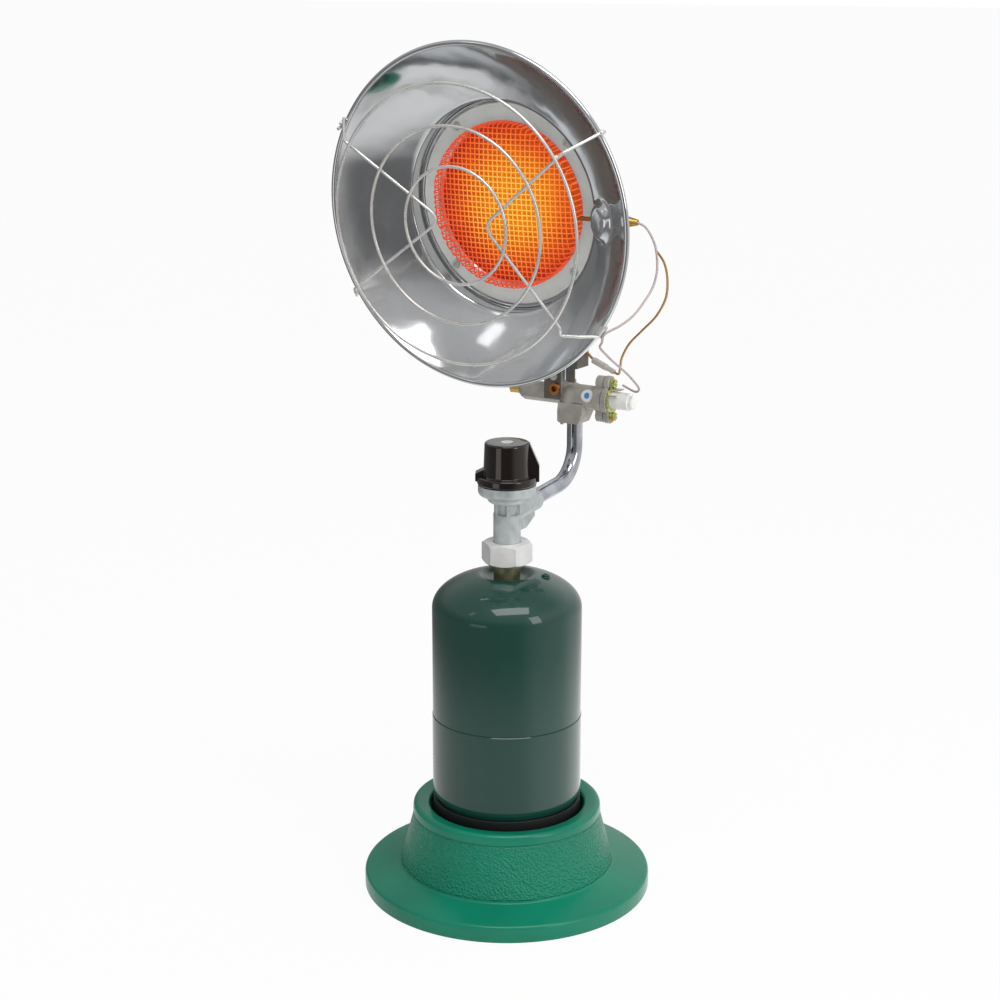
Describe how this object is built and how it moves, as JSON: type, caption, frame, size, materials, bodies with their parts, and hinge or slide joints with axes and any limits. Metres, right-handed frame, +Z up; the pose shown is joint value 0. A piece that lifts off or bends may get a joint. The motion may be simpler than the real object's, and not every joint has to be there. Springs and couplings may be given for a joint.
{
  "type": "portable propane heater",
  "caption": "Radiant propane heater: tilting dish with wire guard and glowing burner on a safety valve, arm and regulator, screwed to a gas cylinder in a round stand.",
  "frame": {"origin": "on the floor, at the axis of the gas cylinder and its round stand", "axes": "+Z up, -Y the way the dish faces, +X towards the push button of the safety valve"},
  "size_m": [0.2169, 0.1918, 0.5548],
  "materials": {
    "green_plastic": "moulded polypropylene, fine leather grain on the cone",
    "dark_green_enamel": "gloss enamel on drawn steel",
    "black_plastic": "matt moulded",
    "zinc_plated_steel": "bright zinc",
    "bright_aluminium": "machined bar",
    "zinc_casting": "die-cast zinc, tumbled",
    "grey_casting": "die-cast zinc, satin",
    "brass": "turned",
    "copper": "drawn copper",
    "nitrile_rubber": "moulded",
    "spring_steel": "drawn wire",
    "black_gloss_plastic": "polished phenolic",
    "white_plastic": "moulded nylon",
    "chrome_tube": "chrome plate",
    "mirror_steel": "bright annealed stainless sheet",
    "yellow_chromate": "zinc plate with yellow chromate",
    "dark_steel": "phosphated sheet",
    "heat_resistant_steel": "heat-tinted stainless",
    "glowing_mesh": "red hot wire gauze",
    "glowing_plate": "red hot perforated plate",
    "silver_trim": "pressed and polished",
    "insulated_lead": "glass-braid sleeve",
    "printed_dot": "round sticker",
    "black_switch": "moulded case"
  },
  "bodies": {
    "base": {"base_stand": "green_plastic"},
    "cylinder": {"cylinder_lower_shell": "dark_green_enamel", "cylinder_upper_shell": "dark_green_enamel", "cylinder_foot_ring": "black_plastic", "cylinder_valve": "brass", "cylinder_valve_pin": "brass", "relief_valve": "dark_green_enamel"},
    "heater": {"inlet_seal": "nitrile_rubber", "regulator_body": "zinc_casting", "regulator_diaphragm": "nitrile_rubber", "regulator_bonnet": "zinc_casting", "regulator_spring": "spring_steel", "arm_tube": "chrome_tube", "valve_body": "grey_casting", "valve_gasket": "nitrile_rubber", "valve_cover": "grey_casting", "terminal_plate": "yellow_chromate", "cover_screws": "yellow_chromate", "lead_terminals": "zinc_plated_steel", "button_spring": "spring_steel", "valve_seat": "brass", "magnet_unit": "copper", "end_plug": "brass", "test_nipple": "brass", "clamp_screw": "zinc_plated_steel", "inspection_dot": "printed_dot", "outlet_pipe": "chrome_tube", "gas_orifice": "brass", "support_bracket": "dark_steel", "bracket_screw": "zinc_plated_steel", "tilt_pivots": "zinc_plated_steel", "tip_over_switch": "black_switch", "lead_connector": "white_plastic", "switch_tail": "insulated_lead"},
    "nut": {"hex_nut": "bright_aluminium"},
    "knob": {"knob_spindle": "brass", "control_knob": "black_gloss_plastic", "knob_cap": "white_plastic"},
    "button": {"safety_button": "white_plastic", "valve_plunger": "brass"},
    "head": {"head_yoke": "dark_steel", "mixing_tube": "heat_resistant_steel", "burner_pan": "heat_resistant_steel", "emitter_plate": "glowing_plate", "burner_mesh": "glowing_mesh", "trim_ring": "silver_trim", "burner_screws": "zinc_plated_steel", "reflector_dish": "mirror_steel", "guard_rings": "spring_steel", "guard_cross_wires": "spring_steel", "thermocouple": "copper", "thermocouple_fitting": "brass", "lead_clip": "spring_steel", "thermocouple_lead": "insulated_lead", "switch_lead": "insulated_lead"}
  },
  "joints": [
    {"name": "cylinder_lift", "type": "slide", "parent": "base", "child": "cylinder", "axis": [0, 0, 1], "range_m": [0, 0.07]},
    {"name": "heater_swivel", "type": "hinge", "parent": "cylinder", "child": "heater", "pos_m": [0, 0, 0.237], "axis": [0, 0, 1], "continuous": true},
    {"name": "nut_turn", "type": "hinge", "parent": "heater", "child": "nut", "pos_m": [0, 0, 0.23], "axis": [0, 0, 1], "continuous": true},
    {"name": "knob_turn", "type": "hinge", "parent": "heater", "child": "knob", "pos_m": [0, 0, 0.29], "axis": [0, 0, 1], "range_deg": [-270, 0]},
    {"name": "button_press", "type": "slide", "parent": "heater", "child": "button", "axis": [-1, 0, 0], "range_m": [0, 0.005], "stiffness_N_per_m": 400, "springref_m": -0.004, "deforming": ["button_spring"]},
    {"name": "head_tilt", "type": "hinge", "parent": "heater", "child": "head", "pos_m": [-0.006, 0.0867, 0.352], "axis": [1, 0, 0], "range_deg": [-20, 10], "deforming": ["thermocouple_lead", "switch_lead"]}
  ]
}
